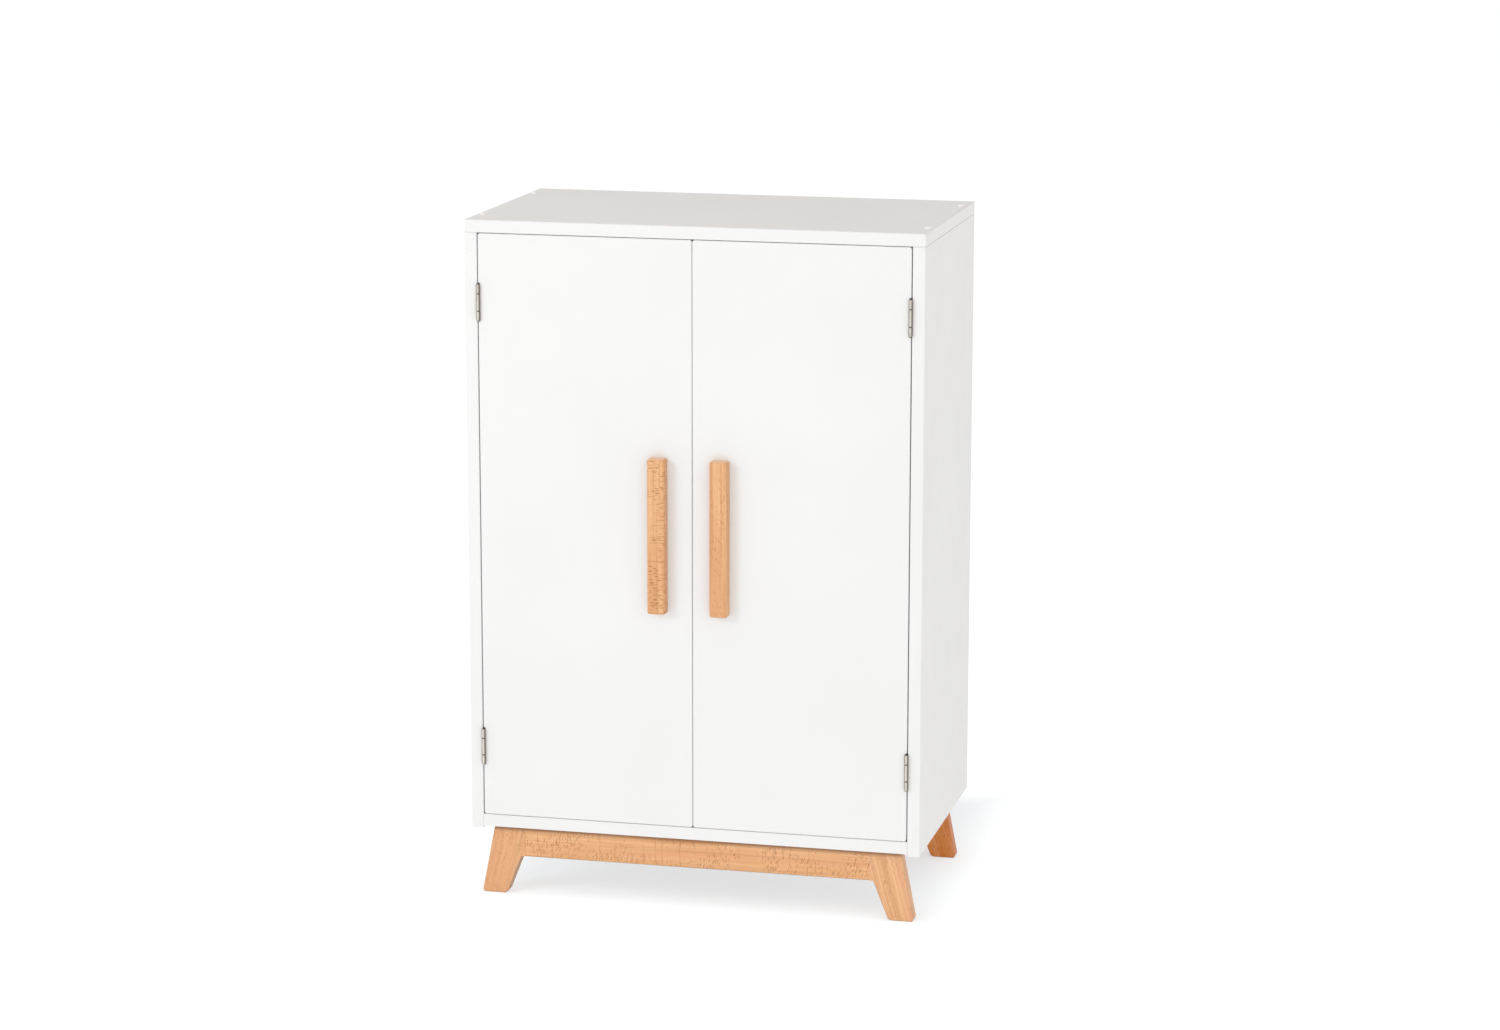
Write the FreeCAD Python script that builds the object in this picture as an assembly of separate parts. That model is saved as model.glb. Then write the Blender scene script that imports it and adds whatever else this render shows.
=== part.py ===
import FreeCAD, Part
import os

# A doll's wardrobe: a white board carcass on two splayed beech leg frames, with two inset doors on
# three-knuckle butt hinges and two beech bar handles. Millimetres, +Z up, doors towards -Y.
# The origin is on the floor, in the middle of the overall box.

# Carcass
carcass_width = 328.0
carcass_depth = 188.0
carcass_height = 440.0
board = 9.0
board_easing = 0.7
bottom_panel_lift = 1.5
back_thickness = 3.0
rebate_width = 4.5

# Leg frames
leg_height = 50.0
frame_thickness = 11.0
frame_recess = 7.5
frame_easing = 0.9
apron_underside = 28.4
leg_top_outer = 148.9
leg_foot_outer = 158.9
leg_foot_inner = 140.5
leg_inner_corner = 129.2
leg_joint = 127.0
foot_corner_radii = {leg_foot_outer: 2.0, leg_foot_inner: 3.5}
frame_dowel_radius = 3.0
frame_dowel_reach = 12.0
frame_dowel_pitch = 10.5
frame_screw_xs = (-143, -80, 0, 80, 143)

# Doors and handles
door_side_gap = 0.7
door_top_gap = 0.4
door_bottom_gap = 0.3
centre_gap = 0.3
meeting_bevel = 0.35
door_corner_radius = 1.8
handle_width = 13.0
handle_depth = 8.0
handle_length = 111.0
handle_offsets = {"left": -24.4, "right": 20.4}
handle_middle = 271.7
handle_corner_radius = 2.0
handle_end_easing = 1.6
handle_screw_spacing = 64.0

# Hinges
hinge_length = 26.0
hinge_from_top = 58.0
hinge_from_bottom = 61.0
hinge_end_knuckle = 6.8
knuckle_radius = 1.4
knuckle_relief = 1.7
pin_radius = 0.8
pin_clearance = 0.05
knuckle_clearance = 0.2
knuckle_bevel = 0.35
leaf_thickness = 0.8
leaf_gap = 0.2
leaf_reach = 7.6
leaf_corner_radius = 0.8
mortise_clearance = 0.7
mortise_tail = 0.3
axis_forward = 1.0
hinge_screw_from_face = 4.7
hinge_screw_spacing = 15.0

# Inside
shelf_underside = 412.0
shelf_play = 0.7
shelf_setback = 30.0
shelf_pin_radius = 2.5
shelf_pin_depth = 6.0
shelf_pin_length = 15.0
shelf_pin_inset = 32.0
rail_radius = 6.0
rail_height = 386.0
socket_radius = 12.8
socket_depth = 9.0
socket_base = 2.5
socket_fit = 0.1
socket_easing = 1.2
socket_screw_circle = 8.9

# Magnetic catch and strike plates
catch_length = 52.0
catch_depth = 14.0
catch_drop = 12.0
catch_setback = 1.6
catch_screw_inset = 4.5
catch_easing = 1.0
magnet_offset = 11.5
magnet_width = 12.0
magnet_height = 6.0
magnet_depth = 8.0
magnet_proud = 0.5
strike_width = 15.0
strike_height = 8.4
strike_thickness = 0.8
strike_corner_radius = 1.5

# Fasteners: shank radius, head radius, head height, length
top_screw = (1.6, 2.4, 1.6, 30.0)
frame_screw = (1.75, 3.4, 2.0, 26.0)
handle_screw = (1.7, 3.2, 2.0, 15.0)
hinge_screw = (0.8, 1.6, 1.0, 7.5)
socket_screw = (1.0, 1.8, 1.1, 15.0)
catch_screw = (1.2, 2.3, 1.4, 18.0)
strike_screw = (1.0, 1.9, 0.9, 7.0)
panel_pin = (0.6, 1.3, 0.5, 15.0)
back_pin_xs = (-115, -40, 40, 115)
back_pin_zs = (80, 170, 260, 350, 440)
cross_slot = 0.28
cap_radius = 2.4
cap_depth = 2.0
cap_proud = 0.9
cap_inset = 30.5
bottom_dowel_radius = 2.5
bottom_dowel_in_side = 6.0
bottom_dowel_length = 24.0
bottom_dowel_inset = 40.0

# Derived planes
front = -(carcass_depth + handle_depth) / 2 + handle_depth
rear = front + carcass_depth
half_width = carcass_width / 2
inner_half = half_width - board
carcass_base = leg_height
carcass_top = leg_height + carcass_height
top_underside = carcass_top - board
bottom_underside = carcass_base + bottom_panel_lift
bottom_upper = bottom_underside + board
door_back = front + board
back_front = rear - back_thickness
door_bottom = bottom_upper + door_bottom_gap
door_top = top_underside - door_top_gap
door_outer = inner_half - door_side_gap
door_inner = centre_gap / 2
hinge_middles = {"upper": carcass_top - hinge_from_top, "lower": carcass_base + hinge_from_bottom}
hinge_axis_x = inner_half - leaf_thickness - leaf_gap / 2
hinge_axis_y = front - axis_forward
sides = {"left": -1, "right": 1}

nodes = {}


def box(x0, x1, y0, y1, z0, z1):
    low = FreeCAD.Vector(min(x0, x1), min(y0, y1), min(z0, z1))
    return Part.makeBox(abs(x1 - x0), abs(y1 - y0), abs(z1 - z0), low)


def eased(shape, radius):
    return shape.makeFillet(radius, shape.Edges)


def edges_along(shape, axis):
    """The straight edges of a box-like solid that run along axis (0 for X, 1 for Y, 2 for Z)."""
    found = []
    for edge in shape.Edges:
        run = edge.Vertexes[-1].Point - edge.Vertexes[0].Point
        if edge.Length > 0 and abs(abs(run[axis]) - edge.Length) < 1e-6:
            found.append(edge)
    return found


def rod(radius, start, direction, length):
    return Part.makeCylinder(radius, length, FreeCAD.Vector(*start), FreeCAD.Vector(*direction))


def aimed(shape, position, direction):
    """Turns a shape drawn along +Z so that +Z points along direction, and puts its origin at position."""
    turn = FreeCAD.Rotation(FreeCAD.Vector(0, 0, 1), FreeCAD.Vector(*direction))
    moved = shape.copy()
    moved.Placement = FreeCAD.Placement(FreeCAD.Vector(*position), turn)
    return moved


def cross_recess(head_radius, depth):
    arm = head_radius * 0.62
    half_slot = head_radius * cross_slot / 2
    first = box(-arm, arm, -half_slot, half_slot, -depth, depth)
    second = box(-half_slot, half_slot, -arm, arm, -depth, depth)
    return first.fuse(second)


def countersunk_screw(size, position, direction):
    """A flat-headed screw, head flush with position and facing along direction, and its cross recess."""
    shank, head, head_height, length = size
    body = rod(shank, (0, 0, -length + shank), (0, 0, 1), length - shank - head_height)
    cone = Part.makeCone(shank, head, head_height, FreeCAD.Vector(0, 0, -head_height))
    tip = Part.makeCone(shank * 0.15, shank, shank, FreeCAD.Vector(0, 0, -length))
    blank = body.fuse([cone, tip]).removeSplitter()
    recess = cross_recess(head, head_height * 0.55)
    return aimed(blank, position, direction), aimed(recess, position, direction)


def pan_screw(size, position, direction):
    """A screw whose domed head stands on the surface at position, and its cross recess."""
    shank, head, head_height, length = size
    body = rod(shank, (0, 0, -length + shank), (0, 0, 1), length - shank)
    cap = rod(head, (0, 0, 0), (0, 0, 1), head_height)
    rim = [edge for edge in cap.Edges if edge.BoundBox.ZMin > head_height * 0.9]
    cap = cap.makeFillet(head_height * 0.55, rim)
    tip = Part.makeCone(shank * 0.15, shank, shank, FreeCAD.Vector(0, 0, -length))
    blank = body.fuse([cap, tip]).removeSplitter()
    recess = cross_recess(head, head_height * 0.5)
    recess.translate(FreeCAD.Vector(0, 0, head_height))
    return aimed(blank, position, direction), aimed(recess, position, direction)


def flush_nail(size, position, direction):
    shank, head, head_height, length = size
    body = rod(shank, (0, 0, -length), (0, 0, 1), length - head_height)
    disc = rod(head, (0, 0, -head_height), (0, 0, 1), head_height)
    return aimed(body.fuse(disc).removeSplitter(), position, direction)


def seat(holders, blanks):
    for name in holders:
        nodes[name] = nodes[name].cut(blanks)


def fasten(name, holders, screws):
    """Seats the screws in the nodes that they hold together, and adds them as the node name."""
    seat(holders, [blank for blank, recess in screws])
    add_screws(name, screws)


def add_screws(name, screws):
    nodes[name] = Part.makeCompound([blank.cut(recess) for blank, recess in screws])


def carcass_panels():
    full = (front, rear)
    top = eased(box(-half_width, half_width, *full, top_underside, carcass_top), board_easing)
    back_half = inner_half + rebate_width
    back_upper = top_underside + rebate_width
    rebate = box(-back_half, back_half, back_front, rear + 1, top_underside - 1, back_upper)
    nodes["top_panel"] = top.cut(rebate)
    for side, sign in sides.items():
        panel = box(sign * inner_half, sign * half_width, *full, carcass_base, top_underside)
        panel = eased(panel, board_easing)
        rebate = box(sign * (inner_half - 1), sign * back_half, back_front, rear + 1,
                     bottom_underside, top_underside + 1)
        nodes[f"{side}_side_panel"] = panel.cut(rebate)
    bottom = box(-inner_half, inner_half, front, back_front, bottom_underside, bottom_upper)
    nodes["bottom_panel"] = bottom.makeFillet(board_easing, front_long_edges(bottom))
    nodes["back_panel"] = box(-back_half, back_half, back_front, rear, bottom_underside, back_upper)


def front_long_edges(shape):
    return [edge for edge in edges_along(shape, 0) if edge.BoundBox.YMax < front + 0.01]


def top_fixings():
    screws = []
    caps = []
    head_level = carcass_top - cap_depth
    for x in (-half_width + board / 2, half_width - board / 2):
        for y in (front + cap_inset, rear - cap_inset):
            screws.append(countersunk_screw(top_screw, (x, y, head_level), (0, 0, 1)))
            cap = rod(cap_radius, (x, y, head_level), (0, 0, 1), cap_depth + cap_proud)
            rim = [edge for edge in cap.Edges if edge.BoundBox.ZMin > carcass_top]
            caps.append(cap.makeFillet(cap_proud * 0.7, rim))
    seat(["top_panel"], caps)
    fasten("top_panel_screws", ["top_panel", "left_side_panel", "right_side_panel"], screws)
    nodes["top_screw_caps"] = Part.makeCompound(caps)


def bottom_fixings():
    dowels = []
    middle_z = (bottom_underside + bottom_upper) / 2
    for sign in sides.values():
        for y in (front + bottom_dowel_inset, (front + rear) / 2, rear - bottom_dowel_inset):
            start = (sign * (inner_half + bottom_dowel_in_side), y, middle_z)
            dowels.append(rod(bottom_dowel_radius, start, (-sign, 0, 0), bottom_dowel_length))
    seat(["bottom_panel", "left_side_panel", "right_side_panel"], dowels)
    nodes["bottom_panel_dowels"] = Part.makeCompound(dowels)


def back_fixings():
    pins = []
    edge_x = inner_half + rebate_width / 2
    edge_zs = (bottom_underside + board / 2, top_underside + rebate_width / 2)
    places = [(x, z) for x in (-edge_x, edge_x) for z in back_pin_zs]
    places += [(x, z) for x in back_pin_xs for z in edge_zs]
    for x, z in places:
        pins.append(flush_nail(panel_pin, (x, rear, z), (0, 1, 0)))
    holders = ["back_panel", "left_side_panel", "right_side_panel", "top_panel", "bottom_panel"]
    seat(holders, pins)
    nodes["back_panel_pins"] = Part.makeCompound(pins)


def leg(sign, y0):
    corners = [(leg_joint, bottom_underside), (leg_top_outer, bottom_underside), (leg_foot_outer, 0),
               (leg_foot_inner, 0), (leg_inner_corner, apron_underside), (leg_joint, apron_underside)]
    points = [FreeCAD.Vector(sign * x, y0, z) for x, z in corners]
    face = Part.Face(Part.makePolygon(points + points[:1]))
    solid = face.extrude(FreeCAD.Vector(0, frame_thickness, 0))
    for x, radius in foot_corner_radii.items():
        corner = [edge for edge in edges_along(solid, 1) if at_foot_corner(edge, sign * x)]
        solid = solid.makeFillet(radius, corner)
    free = [edge for edge in solid.Edges if not on_leg_joint(edge)]
    return solid.makeFillet(frame_easing, free)


def at_foot_corner(edge, x):
    return edge.BoundBox.ZMax < 0.01 and abs(edge.BoundBox.Center.x - x) < 0.01


def on_leg_joint(edge):
    """The leg's edges that stay sharp: the joint face, the flat top and the apron's underside."""
    box_of = edge.BoundBox
    at_joint = max(abs(box_of.XMin), abs(box_of.XMax)) < leg_inner_corner + 0.1
    at_top = box_of.ZMin > bottom_underside - 0.1
    return at_joint or at_top


def leg_frames():
    planes = {"front": front + frame_recess, "rear": rear - frame_recess - frame_thickness}
    screws = []
    for place, y0 in planes.items():
        middle_y = y0 + frame_thickness / 2
        apron = box(-leg_joint, leg_joint, y0, y0 + frame_thickness, apron_underside, bottom_underside)
        lower = [edge for edge in edges_along(apron, 0) if edge.BoundBox.ZMax < apron_underside + 0.1]
        nodes[f"{place}_apron"] = apron.makeFillet(frame_easing, lower)
        holders = [f"{place}_apron"]
        dowels = []
        for side, sign in sides.items():
            name = f"{place}_{side}_leg"
            nodes[name] = leg(sign, y0)
            holders.append(name)
            middle_z = (apron_underside + bottom_underside) / 2
            for z in (middle_z - frame_dowel_pitch / 2, middle_z + frame_dowel_pitch / 2):
                start = (sign * (leg_joint - frame_dowel_reach), middle_y, z)
                dowels.append(rod(frame_dowel_radius, start, (sign, 0, 0), 2 * frame_dowel_reach))
        seat(holders, dowels)
        nodes[f"{place}_frame_dowels"] = Part.makeCompound(dowels)
        row = []
        for x in frame_screw_xs:
            row.append(countersunk_screw(frame_screw, (x, middle_y, bottom_upper), (0, 0, 1)))
        seat(holders + ["bottom_panel"], [blank for blank, recess in row])
        screws += row
    add_screws("leg_frame_screws", screws)


def inside_fittings():
    width = inner_half - shelf_play
    shelf = box(-width, width, door_back + shelf_setback, back_front - shelf_play,
                shelf_underside, shelf_underside + board)
    nodes["shelf"] = eased(shelf, board_easing)
    pins = []
    for sign in sides.values():
        for y in (door_back + shelf_setback + shelf_pin_inset, back_front - shelf_pin_inset):
            start = (sign * (inner_half + shelf_pin_depth), y, shelf_underside - shelf_pin_radius)
            pins.append(rod(shelf_pin_radius, start, (-sign, 0, 0), shelf_pin_length))
    seat(["left_side_panel", "right_side_panel"], pins)
    nodes["shelf_pins"] = Part.makeCompound(pins)

    rail_y = (door_back + back_front) / 2
    rail_half = inner_half - socket_base
    nodes["clothes_rail"] = rod(rail_radius, (-rail_half, rail_y, rail_height), (1, 0, 0), 2 * rail_half)
    screws = []
    for side, sign in sides.items():
        outer = rod(socket_radius, (sign * inner_half, rail_y, rail_height), (-sign, 0, 0), socket_depth)
        mouth = inner_half - socket_depth
        rim = [edge for edge in outer.Edges if edge.BoundBox.XLength < 0.1
               and abs(abs(edge.BoundBox.XMin) - mouth) < 0.1]
        socket = outer.makeFillet(socket_easing, rim)
        bore_start = (sign * rail_half, rail_y, rail_height)
        socket = socket.cut(rod(rail_radius + socket_fit, bore_start, (-sign, 0, 0), socket_depth))
        name = f"{side}_rail_socket"
        nodes[name] = socket
        fixings = []
        for z in (rail_height - socket_screw_circle, rail_height + socket_screw_circle):
            head = (sign * mouth, rail_y, z)
            fixings.append(countersunk_screw(socket_screw, head, (-sign, 0, 0)))
        seat([name, f"{side}_side_panel"], [blank for blank, recess in fixings])
        screws += fixings
    add_screws("rail_socket_screws", screws)


def door_panel(sign):
    """A door board with rounded corners. Its meeting edge is bevelled, so that the doors clear each other."""
    corners = [(door_inner, front), (door_outer, front), (door_outer, door_back),
               (door_inner + meeting_bevel, door_back)]
    points = [FreeCAD.Vector(sign * x, y, door_bottom) for x, y in corners]
    face = Part.Face(Part.makePolygon(points + points[:1]))
    panel = face.extrude(FreeCAD.Vector(0, 0, door_top - door_bottom))
    across = [edge for edge in panel.Edges
              if edge.BoundBox.YLength > board - 0.1 and edge.BoundBox.ZLength < 0.01]
    panel = panel.makeFillet(door_corner_radius, across)
    faces = [edge for edge in panel.Edges if edge.BoundBox.YLength < 0.01]
    return panel.makeFillet(board_easing, faces)


def doors():
    for side, sign in sides.items():
        nodes[f"{side}_door"] = door_panel(sign)

        low = handle_middle - handle_length / 2
        middle_x = handle_offsets[side]
        handle = box(middle_x - handle_width / 2, middle_x + handle_width / 2,
                     front - handle_depth, front, low, low + handle_length)
        uprights = [edge for edge in edges_along(handle, 2) if edge.BoundBox.YMax < front - 0.1]
        handle = handle.makeFillet(handle_corner_radius, uprights)
        ends = [edge for edge in handle.Edges
                if edge.BoundBox.ZLength < 0.01 and edge.BoundBox.YMin < front - 0.1]
        nodes[f"{side}_handle"] = handle.makeFillet(handle_end_easing, ends)
        screws = []
        for z in (handle_middle - handle_screw_spacing / 2, handle_middle + handle_screw_spacing / 2):
            screws.append(pan_screw(handle_screw, (middle_x, door_back, z), (0, 1, 0)))
        fasten(f"{side}_handle_screws", [f"{side}_door", f"{side}_handle"], screws)


def knuckle(axis_x, z0, z1, bore):
    """A knuckle, with its rims bevelled all round, and what to bore out of it."""
    tube = rod(knuckle_radius, (axis_x, hinge_axis_y, z0), (0, 0, 1), z1 - z0)
    rims = [edge for edge in tube.Edges if edge.BoundBox.ZLength < 0.01]
    tube = tube.makeChamfer(knuckle_bevel, rims)
    return tube, rod(bore, (axis_x, hinge_axis_y, z0 - 1), (0, 0, 1), z1 - z0 + 2)


def hinge_leaf(sign, middle, leaf_sign, knuckles, bore):
    """One leaf with its knuckles. leaf_sign is +1 for the carcass leaf and -1 for the door leaf."""
    axis_x = sign * hinge_axis_x
    near = axis_x + sign * leaf_sign * leaf_gap / 2
    far = near + sign * leaf_sign * leaf_thickness
    low = middle - hinge_length / 2
    plate = box(near, far, front + knuckle_radius, front + leaf_reach, low, low + hinge_length)
    tail = front + leaf_reach
    tail_corners = [edge for edge in edges_along(plate, 0) if edge.BoundBox.YMin > tail - 0.1]
    leaf = plate.makeFillet(leaf_corner_radius, tail_corners)
    for z0, z1 in knuckles:
        neck = box(near, far, hinge_axis_y, front + knuckle_radius, z0, z1)
        tube, hole = knuckle(axis_x, z0, z1, bore)
        leaf = leaf.fuse([neck, tube]).removeSplitter().cut(hole)
    return leaf


def hinges():
    for side, sign in sides.items():
        door_screws = []
        frame_screws = []
        for level, middle in hinge_middles.items():
            name = f"{level}_{side}_hinge"
            low = middle - hinge_length / 2
            high = middle + hinge_length / 2
            ends = [(low, low + hinge_end_knuckle), (high - hinge_end_knuckle, high)]
            centre = [(low + hinge_end_knuckle + knuckle_clearance,
                       high - hinge_end_knuckle - knuckle_clearance)]
            nodes[f"{name}_frame_leaf"] = hinge_leaf(sign, middle, 1, ends, pin_radius)
            nodes[f"{name}_door_leaf"] = hinge_leaf(sign, middle, -1, centre, pin_radius + pin_clearance)
            start = (sign * hinge_axis_x, hinge_axis_y, low)
            nodes[f"{name}_pin"] = rod(pin_radius, start, (0, 0, 1), hinge_length)

            relief_start = (sign * hinge_axis_x, hinge_axis_y, low - mortise_clearance)
            relief_length = hinge_length + 2 * mortise_clearance
            relief = rod(knuckle_relief, relief_start, (0, 0, 1), relief_length)
            mortise = box(sign * (hinge_axis_x - leaf_gap / 2 - leaf_thickness), sign * inner_half, front - 1,
                          front + leaf_reach + mortise_tail, low - mortise_clearance,
                          high + mortise_clearance)
            nodes[f"{side}_door"] = nodes[f"{side}_door"].cut([relief, mortise])
            nodes[f"{side}_side_panel"] = nodes[f"{side}_side_panel"].cut(relief)

            screw_y = front + hinge_screw_from_face
            frame_face = sign * (hinge_axis_x + leaf_gap / 2)
            door_face = sign * (hinge_axis_x - leaf_gap / 2)
            for z in (middle - hinge_screw_spacing / 2, middle + hinge_screw_spacing / 2):
                frame_screws.append(countersunk_screw(hinge_screw, (frame_face, screw_y, z), (-sign, 0, 0)))
                door_screws.append(countersunk_screw(hinge_screw, (door_face, screw_y, z), (sign, 0, 0)))
        leaves = [f"{level}_{side}_hinge_frame_leaf" for level in hinge_middles]
        fasten(f"{side}_frame_hinge_screws", leaves + [f"{side}_side_panel"], frame_screws)
        leaves = [f"{level}_{side}_hinge_door_leaf" for level in hinge_middles]
        fasten(f"{side}_door_hinge_screws", leaves + [f"{side}_door"], door_screws)


def magnetic_catch():
    y0 = door_back + catch_setback
    z0 = top_underside - catch_drop
    housing = box(-catch_length / 2, catch_length / 2, y0, y0 + catch_depth, z0, top_underside)
    edges = [edge for edge in housing.Edges if edge.BoundBox.ZMin < top_underside - 0.1]
    nodes["catch_housing"] = housing.makeFillet(catch_easing, edges)
    magnets = []
    screws = []
    middle_z = z0 + catch_drop / 2
    for side, sign in sides.items():
        x = sign * magnet_offset
        magnets.append(box(x - magnet_width / 2, x + magnet_width / 2, y0 - magnet_proud, y0 + magnet_depth,
                           middle_z - magnet_height / 2, middle_z + magnet_height / 2))
        screw_x = sign * (catch_length / 2 - catch_screw_inset)
        screws.append(countersunk_screw(catch_screw, (screw_x, y0 + catch_depth / 2, z0), (0, 0, -1)))
        strike_face = door_back + strike_thickness
        plate = box(x - strike_width / 2, x + strike_width / 2, door_back, strike_face,
                    middle_z - strike_height / 2, middle_z + strike_height / 2)
        plate_name = f"{side}_strike_plate"
        nodes[plate_name] = plate.makeFillet(strike_corner_radius, edges_along(plate, 1))
        fixing = countersunk_screw(strike_screw, (x, strike_face, middle_z), (0, 1, 0))
        fasten(f"{side}_strike_screw", [plate_name, f"{side}_door"], [fixing])
    seat(["catch_housing"], magnets)
    nodes["catch_magnets"] = Part.makeCompound(magnets)
    fasten("catch_screws", ["catch_housing", "top_panel"], screws)


def build():
    carcass_panels()
    top_fixings()
    bottom_fixings()
    back_fixings()
    leg_frames()
    inside_fittings()
    doors()
    hinges()
    magnetic_catch()


build()
os.makedirs("parts", exist_ok=True)
for name, shape in nodes.items():
    shape.exportStep(f"parts/{name}.step")
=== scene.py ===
import math

import bpy
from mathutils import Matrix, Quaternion, Vector


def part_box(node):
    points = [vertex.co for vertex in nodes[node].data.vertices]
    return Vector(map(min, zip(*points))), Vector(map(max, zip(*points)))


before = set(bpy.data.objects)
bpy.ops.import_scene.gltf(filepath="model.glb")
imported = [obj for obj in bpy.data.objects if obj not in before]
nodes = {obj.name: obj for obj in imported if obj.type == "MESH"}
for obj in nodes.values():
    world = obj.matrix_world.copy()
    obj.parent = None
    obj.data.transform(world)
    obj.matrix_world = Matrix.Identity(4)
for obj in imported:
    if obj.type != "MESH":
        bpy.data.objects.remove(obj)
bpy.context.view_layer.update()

# ---------------------------------------------------------------------------
# Sizes in metres, angles in degrees, the lens in millimetres, light levels and tones
# ---------------------------------------------------------------------------

CAMERA_AZIMUTH = 13.33
CAMERA_ELEVATION = 11.59
CAMERA_ROLL = 0.08
CAMERA_DISTANCE = 2.715
CAMERA_LENS = 93.6
AIM_RIGHT_OF_MIDDLE = 0.0415
AIM_ABOVE_CARCASS_BASE = 0.2394

FLOOR_HALF = 30.0
FLOOR_TONE = (0.49, 0.525, 0.55, 1)
FLOOR_GLOW = 0.475
FLOOR_GLOW_FAR = 0.675
# The floor glows less in a square under and behind the wardrobe, which gives the soft grey shade there.
# SHADE_MIDDLE is the Y of its middle, and its rim fades from SHADE_FROM to SHADE_TO away from there.
SHADE_MIDDLE = 0.085
SHADE_FROM, SHADE_TO = 0.13, 0.195

WORLD_STRENGTH = 0.77
WORLD_LEFT = (1.0, 1.0, 1.0, 1)
WORLD_RIGHT = (0.785, 0.725, 0.665, 1)
LIGHT_TARGET = Vector((0, 0, 0.26))
LIGHT_DISTANCE = 2.6

# Each softbox: the azimuth and elevation it shines from, its two sides, and its power in watts.
SOFTBOXES = {
    "softbox_left": (-44, 22, (0.7, 0.7), 13.3),
    "softbox_right": (40, 24, (2.2, 1.6), 11.5),
    "softbox_over": (0, 80, (0.5, 1.4), 7.0),
}

LEG_LEAN = 15.0
RAY_SLANT = -20.0
# A painted shadow on the frames just under the bottom board: it begins the first of these distances below
# the board and is darkest from the second up.
PAINTED_SHADE_FADE = 0.0058
PAINTED_SHADE_HIDDEN = 0.0015

# Colours are linear. A pair is the darkest and the lightest tone of one surface.
LACQUER = (0.786, 0.786, 0.784, 1), (0.804, 0.804, 0.803, 1)
HARDBOARD = (0.765, 0.763, 0.755, 1), (0.790, 0.788, 0.782, 1)
PLASTIC = (0.90, 0.90, 0.895, 1), (0.93, 0.93, 0.93, 1)
NICKEL = (0.55, 0.500, 0.440, 1), (0.73, 0.68, 0.61, 1)
NICKEL_PAINTED_DARK = (0.215, 0.180, 0.155, 1)
ZINC = (0.52, 0.52, 0.50, 1), (0.72, 0.72, 0.70, 1)
MAGNET_STEEL = (0.24, 0.24, 0.25, 1), (0.36, 0.36, 0.37, 1)

BEECH_LIGHT = (0.800, 0.476, 0.254, 1)
BEECH_MIDDLE = (0.665, 0.330, 0.138, 1)
BEECH_PINK = (0.700, 0.346, 0.178, 1)
BEECH_DEEP = (0.520, 0.245, 0.102, 1)
BEECH_FLECK = (0.310, 0.112, 0.026, 1)
BEECH_END = (0.740, 0.500, 0.320, 1)
BEECH_SHADED = (0.230, 0.095, 0.036, 1)

# Changes of hue (0.5 is none), saturation and value (1 is none) that set single pieces apart. The first
# also darkens and reddens the rear frame as painted shade, where the carcass shades it.
REDDER_PAINTED_SHADE = (0.485, 1.24, 0.85)
PALER = (0.5, 0.97, 1.05)
BRIGHTER = (0.5, 1.0, 1.045)

# The figure of the beech: how many features fit in a metre, across the grain (twice) and along it. The
# ray lines are counted along the grain only, and the pores of the end grain are alike in every direction.
WANDER = (18, 18, 9)
STREAKS = (640, 640, 11)
BROAD_BANDS = (110, 110, 6)
YEAR_RINGS = (300, 190, 4)
FIBRES = (3400, 3400, 90)
LONG_FLECKS = (1250, 1250, 270)
LONG_FLECK_PATCHES = (130, 130, 35)
SHORT_RAYS = (200, 200, 1150)
SHORT_RAY_PATCHES = (70, 70, 40)
RAY_LINES = 105
RAY_LINE_SWAY = (90, 90, 30)
RAY_LINE_PATCHES = (85, 85, 22)
CLOUDS = (30, 30, 70)
END_PORES = 2600


# ---------------------------------------------------------------------------
# Materials
# ---------------------------------------------------------------------------

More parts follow.
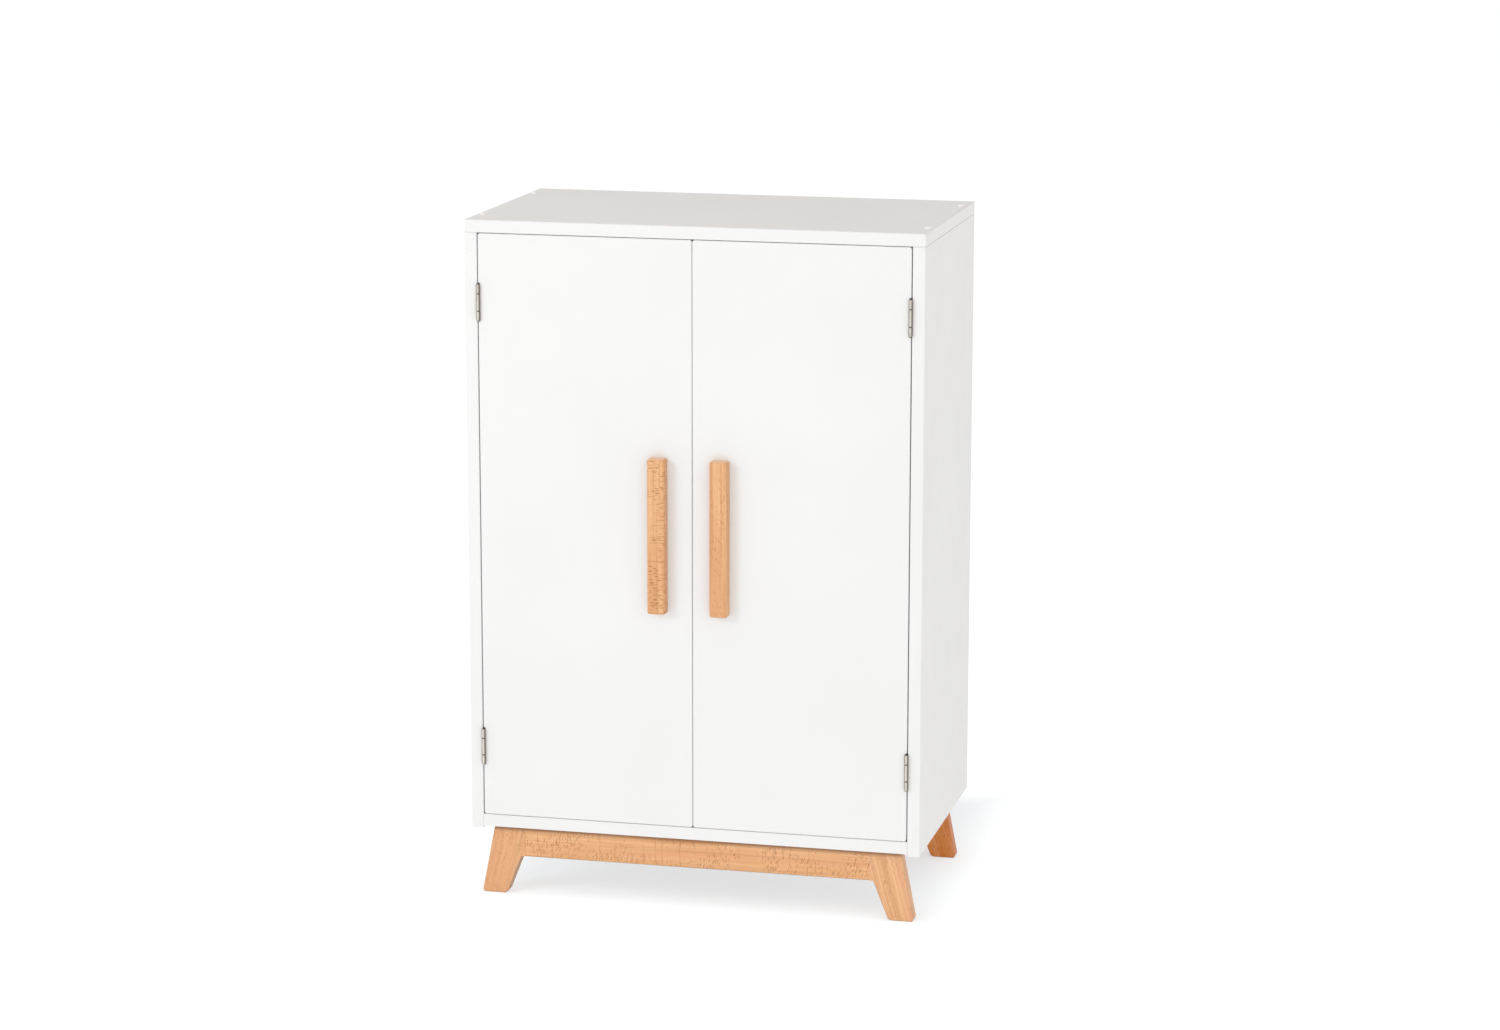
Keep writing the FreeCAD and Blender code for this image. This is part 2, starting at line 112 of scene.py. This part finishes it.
class Shader:
    """A material with one Principled shader, and short calls that add nodes to it."""

    def __init__(self, name, roughness=0.5, metallic=0.0, specular=0.5):
        self.material = bpy.data.materials.new(name)
        self.material.use_nodes = True
        self.tree = self.material.node_tree
        self.principled = self.tree.nodes["Principled BSDF"]
        self.principled.inputs["Roughness"].default_value = roughness
        self.principled.inputs["Metallic"].default_value = metallic
        self.principled.inputs["Specular IOR Level"].default_value = specular
        texture_space = self.node("ShaderNodeTexCoord")
        self.place = texture_space.outputs["Object"]
        self.normal = texture_space.outputs["Normal"]

    def node(self, kind, inputs=None, **settings):
        made = self.tree.nodes.new(kind)
        for key, value in settings.items():
            setattr(made, key, value)
        for key, value in (inputs or {}).items():
            self.feed(made.inputs[key], value)
        return made

    def feed(self, socket, value):
        if isinstance(value, bpy.types.NodeSocket):
            self.tree.links.new(value, socket)
        else:
            socket.default_value = value

    def mapped(self, vector, scale=(1, 1, 1), rotation=(0, 0, 0), location=(0, 0, 0)):
        inputs = {"Vector": vector, "Scale": scale, "Rotation": rotation, "Location": location}
        return self.node("ShaderNodeMapping", inputs).outputs["Vector"]

    def noise(self, vector, scale=1.0, detail=2.0, roughness=0.5):
        inputs = {"Vector": vector, "Scale": scale, "Detail": detail, "Roughness": roughness}
        return self.node("ShaderNodeTexNoise", inputs).outputs["Fac"]

    def cells(self, vector, scale=1.0):
        """The distance to the nearest of some scattered points, one to a cell of size 1 / scale."""
        inputs = {"Vector": vector, "Scale": scale}
        return self.node("ShaderNodeTexVoronoi", inputs).outputs["Distance"]

    def lines(self, position, scale):
        """The distance to the nearest of some lines across position, one to a length of 1 / scale."""
        inputs = {"W": position, "Scale": scale}
        return self.node("ShaderNodeTexVoronoi", inputs, voronoi_dimensions="1D").outputs["Distance"]

    def split(self, vector, axis="Z"):
        return self.node("ShaderNodeSeparateXYZ", {"Vector": vector}).outputs[axis]

    def math(self, operation, first, second=0.0):
        made = self.node("ShaderNodeMath", operation=operation)
        self.feed(made.inputs[0], first)
        self.feed(made.inputs[1], second)
        return made.outputs["Value"]

    def span(self, value, low, high, to_low=0.0, to_high=1.0):
        """Maps value from low..high to to_low..to_high, smoothly, and clamps it there."""
        inputs = {"Value": value, "From Min": low, "From Max": high, "To Min": to_low, "To Max": to_high}
        return self.node("ShaderNodeMapRange", inputs, interpolation_type="SMOOTHSTEP").outputs["Result"]

    def mix(self, factor, first, second):
        made = self.node("ShaderNodeMix", data_type="RGBA")
        colours = [socket for socket in made.inputs if socket.type == "RGBA"]
        self.feed(made.inputs[0], factor)
        self.feed(colours[0], first)
        self.feed(colours[1], second)
        return [socket for socket in made.outputs if socket.type == "RGBA"][0]

    def bump(self, height, distance, strength=1.0, under=None):
        inputs = {"Height": height, "Distance": distance, "Strength": strength}
        if under is not None:
            inputs["Normal"] = under
        return self.node("ShaderNodeBump", inputs).outputs["Normal"]

    def finish(self, colour=None, roughness=None, normal=None):
        for key, value in (("Base Color", colour), ("Roughness", roughness), ("Normal", normal)):
            if value is not None:
                self.feed(self.principled.inputs[key], value)
        return self.material


def lacquered_board():
    """White satin lacquer on fibreboard: a faint orange peel, and hardly any change of tone."""
    s = Shader("white_lacquer", specular=0.35)
    cloud = s.noise(s.place, scale=9.0, detail=3.0)
    colour = s.mix(s.span(cloud, 0.3, 0.7), *LACQUER)
    roughness = s.span(s.noise(s.place, scale=60.0, detail=4.0), 0.3, 0.7, 0.39, 0.46)
    peel = s.bump(s.noise(s.place, scale=520.0), 0.000010)
    fine = s.bump(s.noise(s.place, scale=3200.0, detail=1.0), 0.000002, under=peel)
    return s.finish(colour, roughness, fine)


def white_hardboard():
    """The back panel: thin hardboard with a printed white face."""
    s = Shader("white_hardboard", specular=0.35)
    speckle = s.noise(s.place, scale=1400.0)
    colour = s.mix(s.span(speckle, 0.35, 0.7), *HARDBOARD)
    roughness = s.span(s.noise(s.place, scale=90.0, detail=3.0), 0.3, 0.7, 0.46, 0.55)
    return s.finish(colour, roughness, s.bump(speckle, 0.000006))


def white_plastic():
    s = Shader("white_plastic")
    cloud = s.noise(s.place, scale=200.0)
    colour = s.mix(cloud, *PLASTIC)
    grain = s.noise(s.place, scale=5200.0)
    roughness = s.span(grain, 0.3, 0.7, 0.28, 0.38)
    return s.finish(colour, roughness, s.bump(grain, 0.000006))


def beech(name, turn, shift, rays=0.0, slant=0.0, tint=None, painted_shade_top=None):
    """Clear-lacquered beech.

    turn: the angle about Y, in degrees, that brings the grain upright
    shift: how far the pattern is moved, so that no two pieces match
    rays: how much dark figure lies across the grain, as on a quarter-sawn face
    slant: how far that figure leans, in degrees
    tint: a change of hue, saturation and value
    seam: the height of the board over the piece; a painted shadow darkens the wood just below it, and
    painted shade darkens faces that turn down
    """
    s = Shader(name, specular=0.4)
    upright = (0, math.radians(turn), 0)
    board = s.mapped(s.place, rotation=upright, location=(shift, shift * 0.37, shift * 0.71))

    # The grain wanders a little from side to side on its way up.
    wander = s.noise(s.mapped(board, scale=WANDER))
    offset = s.node("ShaderNodeVectorMath", {"Scale": wander}, operation="SCALE")
    offset.inputs[0].default_value = (0.0050, 0.0036, 0.0)
    moved = s.node("ShaderNodeVectorMath", {0: board, 1: offset.outputs["Vector"]}, operation="ADD")
    grain = moved.outputs["Vector"]

    streak = s.noise(s.mapped(grain, scale=STREAKS), detail=4.0, roughness=0.6)
    colour = s.mix(s.span(streak, 0.32, 0.68), BEECH_LIGHT, BEECH_MIDDLE)
    broad = s.noise(s.mapped(grain, scale=BROAD_BANDS))
    colour = s.mix(s.span(broad, 0.42, 0.70, 0.0, 0.75), colour, BEECH_PINK)
    ring = s.noise(s.mapped(grain, scale=YEAR_RINGS))
    colour = s.mix(s.span(ring, 0.54, 0.72, 0.0, 0.46), colour, BEECH_DEEP)
    fibre = s.noise(s.mapped(grain, scale=FIBRES), detail=3.0, roughness=0.6)
    colour = s.mix(s.span(fibre, 0.42, 0.80, 0.0, 0.38), colour, BEECH_DEEP)

    along = s.cells(s.mapped(grain, scale=LONG_FLECKS))
    along_where = s.span(s.noise(s.mapped(grain, scale=LONG_FLECK_PATCHES)), 0.34, 0.52)
    marks = s.math("MULTIPLY", s.span(along, 0.40, 0.16), along_where)
    colour = s.mix(s.math("MULTIPLY", marks, 0.42 * (1 - rays)), colour, BEECH_FLECK)
    if rays > 0:
        leaning = s.mapped(board, rotation=(0, math.radians(slant), 0))
        short = s.cells(s.mapped(leaning, scale=SHORT_RAYS))
        short_where = s.span(s.noise(s.mapped(board, scale=SHORT_RAY_PATCHES)), 0.42, 0.58)
        short_rays = s.math("MULTIPLY", s.span(short, 0.42, 0.18), short_where)
        colour = s.mix(s.math("MULTIPLY", short_rays, 0.92 * rays), colour, BEECH_FLECK)
        sway = s.math("MULTIPLY", s.noise(s.mapped(board, scale=RAY_LINE_SWAY)), 0.0022)
        crossing = s.lines(s.math("ADD", s.split(board), sway), RAY_LINES)
        line_where = s.span(s.noise(s.mapped(board, scale=RAY_LINE_PATCHES)), 0.42, 0.62)
        lines = s.math("MULTIPLY", s.span(crossing, 0.050, 0.012), line_where)
        colour = s.mix(s.math("MULTIPLY", lines, 0.95 * rays), colour, BEECH_DEEP)
        cloud = s.noise(s.mapped(board, scale=CLOUDS))
        colour = s.mix(s.span(cloud, 0.52, 0.74, 0.0, 0.45 * rays), colour, BEECH_MIDDLE)
        marks = s.math("MAXIMUM", short_rays, lines)

    # End grain shows where the surface faces along the grain.
    along_grain = s.split(s.mapped(s.normal, rotation=upright))
    end = s.span(s.math("ABSOLUTE", along_grain), 0.75, 0.97)
    pores = s.span(s.cells(s.place, scale=END_PORES), 0.28, 0.12, 0.0, 0.35)
    colour = s.mix(end, colour, s.mix(pores, BEECH_END, BEECH_DEEP))
    # Painted shadow on the wood just under the board over the piece.
    if painted_shade_top is not None:
        over = s.span(s.split(s.place), painted_shade_top - PAINTED_SHADE_FADE, painted_shade_top - PAINTED_SHADE_HIDDEN, 0.0, 0.95)
        # Painted shade on faces that turn down.
        under = s.span(s.split(s.normal), -0.08, -0.42, 0.0, 0.62)
        colour = s.mix(s.math("MAXIMUM", over, under), colour, BEECH_SHADED)
    if tint is not None:
        hue, saturation, value = tint
        inputs = {"Color": colour, "Hue": hue, "Saturation": saturation, "Value": value}
        colour = s.node("ShaderNodeHueSaturation", inputs).outputs["Color"]

    roughness = s.span(fibre, 0.3, 0.75, 0.40, 0.52)
    relief = s.math("SUBTRACT", fibre, s.math("MULTIPLY", marks, 0.8))
    return s.finish(colour, roughness, s.bump(relief, 0.00003, 0.8))


def plated_metal(name, tones, roughness, brush_scale, painted_dark_sides=None):
    """Thinly plated steel: fine brushing along it, and a faint staining in the plating. Given a dark
    colour, a knuckle takes it where it curves away from the front, as a painted dark reflection."""
    s = Shader(name, metallic=1.0)
    stain = s.noise(s.place, scale=900.0, detail=4.0, roughness=0.6)
    brush = s.noise(s.mapped(s.place, scale=(brush_scale, brush_scale, brush_scale * 0.04)), detail=3.0)
    tone = s.math("ADD", s.math("MULTIPLY", stain, 0.35), s.math("MULTIPLY", brush, 0.65))
    colour = s.mix(s.span(tone, 0.38, 0.62), *tones)
    if painted_dark_sides is not None:
        # Painted dark reflection: the knuckle's sides that curve away from the front take the dark
        # colour.
        front_on = s.span(s.math("ABSOLUTE", s.split(s.normal, "Y")), 0.70, 0.985)
        flat_side = s.span(s.math("ABSOLUTE", s.split(s.normal, "X")), 0.990, 0.999)
        colour = s.mix(s.math("MAXIMUM", front_on, flat_side), painted_dark_sides, colour)
    rough = s.span(brush, 0.3, 0.7, roughness - 0.06, roughness + 0.08)
    return s.finish(colour, rough, s.bump(brush, 0.000006))


def dress(material, *names):
    """Gives every slot of the named CAD nodes this material."""
    for name in names:
        mesh = nodes[name].data
        for index in range(len(mesh.materials)):
            mesh.materials[index] = material


def dress_all():
    dress(lacquered_board(), "top_panel", "left_side_panel", "right_side_panel", "bottom_panel", "shelf",
          "left_door", "right_door")
    dress(white_hardboard(), "back_panel")
    dress(white_plastic(), "top_screw_caps", "catch_housing", "left_rail_socket", "right_rail_socket")
    dress(beech("beech_left_handle", 0, 0.13, rays=1.0), "left_handle")
    dress(beech("beech_right_handle", 0, 0.57), "right_handle")
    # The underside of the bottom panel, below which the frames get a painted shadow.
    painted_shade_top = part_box("bottom_panel")[0][2]
    for name, turn, shift, rays, tint in (
            ("front_apron", 90, 0.31, 0.8, BRIGHTER),
            ("front_left_leg", -LEG_LEAN, 0.42, 0.0, None),
            ("front_right_leg", LEG_LEAN, 0.54, 0.0, PALER),
            ("rear_apron", 90, 0.83, 0.8, REDDER_PAINTED_SHADE),
            ("rear_left_leg", -LEG_LEAN, 0.94, 0.0, REDDER_PAINTED_SHADE),
            ("rear_right_leg", LEG_LEAN, 1.06, 0.0, REDDER_PAINTED_SHADE)):
        dress(beech(f"beech_{name}", turn, shift, rays, slant=RAY_SLANT, tint=tint, painted_shade_top=painted_shade_top), name)
    dress(beech("beech_rail", 90, 0.43), "clothes_rail")
    dress(beech("beech_dowels", 90, 0.77), "bottom_panel_dowels", "front_frame_dowels",
          "rear_frame_dowels", "shelf_pins")
    nickel = plated_metal("dull_nickel", NICKEL, 0.27, 2400, painted_dark_sides=NICKEL_PAINTED_DARK)
    zinc = plated_metal("zinc_plate", ZINC, 0.36, 2000)
    steel = plated_metal("magnet_steel", MAGNET_STEEL, 0.42, 3000)
    for name in nodes:
        if "hinge" in name:
            dress(nickel, name)
        elif name == "catch_magnets":
            dress(steel, name)
        elif name.endswith(("screws", "screw", "panel_pins", "strike_plate")):
            dress(zinc, name)


# ---------------------------------------------------------------------------
# Camera, floor and light
# ---------------------------------------------------------------------------

def direction(azimuth, elevation):
    """The way to a point at this azimuth, from the front towards the right, and elevation."""
    turn, rise = math.radians(azimuth), math.radians(elevation)
    return Vector((math.sin(turn) * math.cos(rise), -math.cos(turn) * math.cos(rise), math.sin(rise)))


def add(name, data):
    made = bpy.data.objects.new(name, data)
    bpy.context.scene.collection.objects.link(made)
    return made


def aim(thing, target, roll=0.0):
    facing = (target - thing.location).to_track_quat("-Z", "Y")
    thing.rotation_mode = "QUATERNION"
    thing.rotation_quaternion = facing @ Quaternion((0, 0, 1), math.radians(roll))


def camera():
    front_left_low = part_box("left_side_panel")[0]
    target = Vector((AIM_RIGHT_OF_MIDDLE, front_left_low[1], front_left_low[2] + AIM_ABOVE_CARCASS_BASE))
    made = add("camera", bpy.data.cameras.new("camera"))
    made.data.lens = CAMERA_LENS
    made.location = target + direction(CAMERA_AZIMUTH, CAMERA_ELEVATION) * CAMERA_DISTANCE
    aim(made, target, CAMERA_ROLL)
    bpy.context.scene.camera = made


def floor():
    corners = [(x * FLOOR_HALF, y * FLOOR_HALF, 0) for x, y in ((-1, -1), (1, -1), (1, 1), (-1, 1))]
    mesh = bpy.data.meshes.new("floor")
    mesh.from_pydata(corners, [], [(0, 1, 2, 3)])
    s = Shader("floor_paper", roughness=0.9, specular=0.0)
    s.principled.inputs["Base Color"].default_value = FLOOR_TONE
    s.principled.inputs["Emission Color"].default_value = (1, 1, 1, 1)
    across = s.math("ABSOLUTE", s.split(s.place, "X"))
    back = s.math("ABSOLUTE", s.math("SUBTRACT", s.split(s.place, "Y"), SHADE_MIDDLE))
    glow = s.span(s.math("MAXIMUM", across, back), SHADE_FROM, SHADE_TO, FLOOR_GLOW, FLOOR_GLOW_FAR)
    s.feed(s.principled.inputs["Emission Strength"], glow)
    mesh.materials.append(s.material)
    add("floor", mesh)


def softbox(name, azimuth, elevation, sides, power):
    data = bpy.data.lights.new(name, "AREA")
    data.shape = "RECTANGLE"
    data.size, data.size_y = sides
    data.energy = power
    made = add(name, data)
    made.location = LIGHT_TARGET + direction(azimuth, elevation) * LIGHT_DISTANCE
    aim(made, LIGHT_TARGET)


def studio():
    """A pale dome, dimmer and warmer on the right, with a softbox on each side and one overhead."""
    world = bpy.data.worlds.new("studio")
    world.use_nodes = True
    tree = world.node_tree
    background = tree.nodes["Background"]
    background.inputs["Strength"].default_value = WORLD_STRENGTH
    way = tree.nodes.new("ShaderNodeTexCoord").outputs["Generated"]
    split = tree.nodes.new("ShaderNodeSeparateXYZ")
    ramp = tree.nodes.new("ShaderNodeMapRange")
    blend = tree.nodes.new("ShaderNodeMix")
    blend.data_type = "RGBA"
    left, right = [socket for socket in blend.inputs if socket.type == "RGBA"]
    blended = [socket for socket in blend.outputs if socket.type == "RGBA"][0]
    left.default_value, right.default_value = WORLD_LEFT, WORLD_RIGHT
    ramp.inputs["From Min"].default_value = -1.0
    tree.links.new(way, split.inputs["Vector"])
    tree.links.new(split.outputs["X"], ramp.inputs["Value"])
    tree.links.new(ramp.outputs["Result"], blend.inputs[0])
    tree.links.new(blended, background.inputs["Color"])
    bpy.context.scene.world = world
    bpy.context.scene.view_settings.view_transform = "Standard"
    for name, (azimuth, elevation, sides, power) in SOFTBOXES.items():
        softbox(name, azimuth, elevation, sides, power)


dress_all()
camera()
floor()
studio()
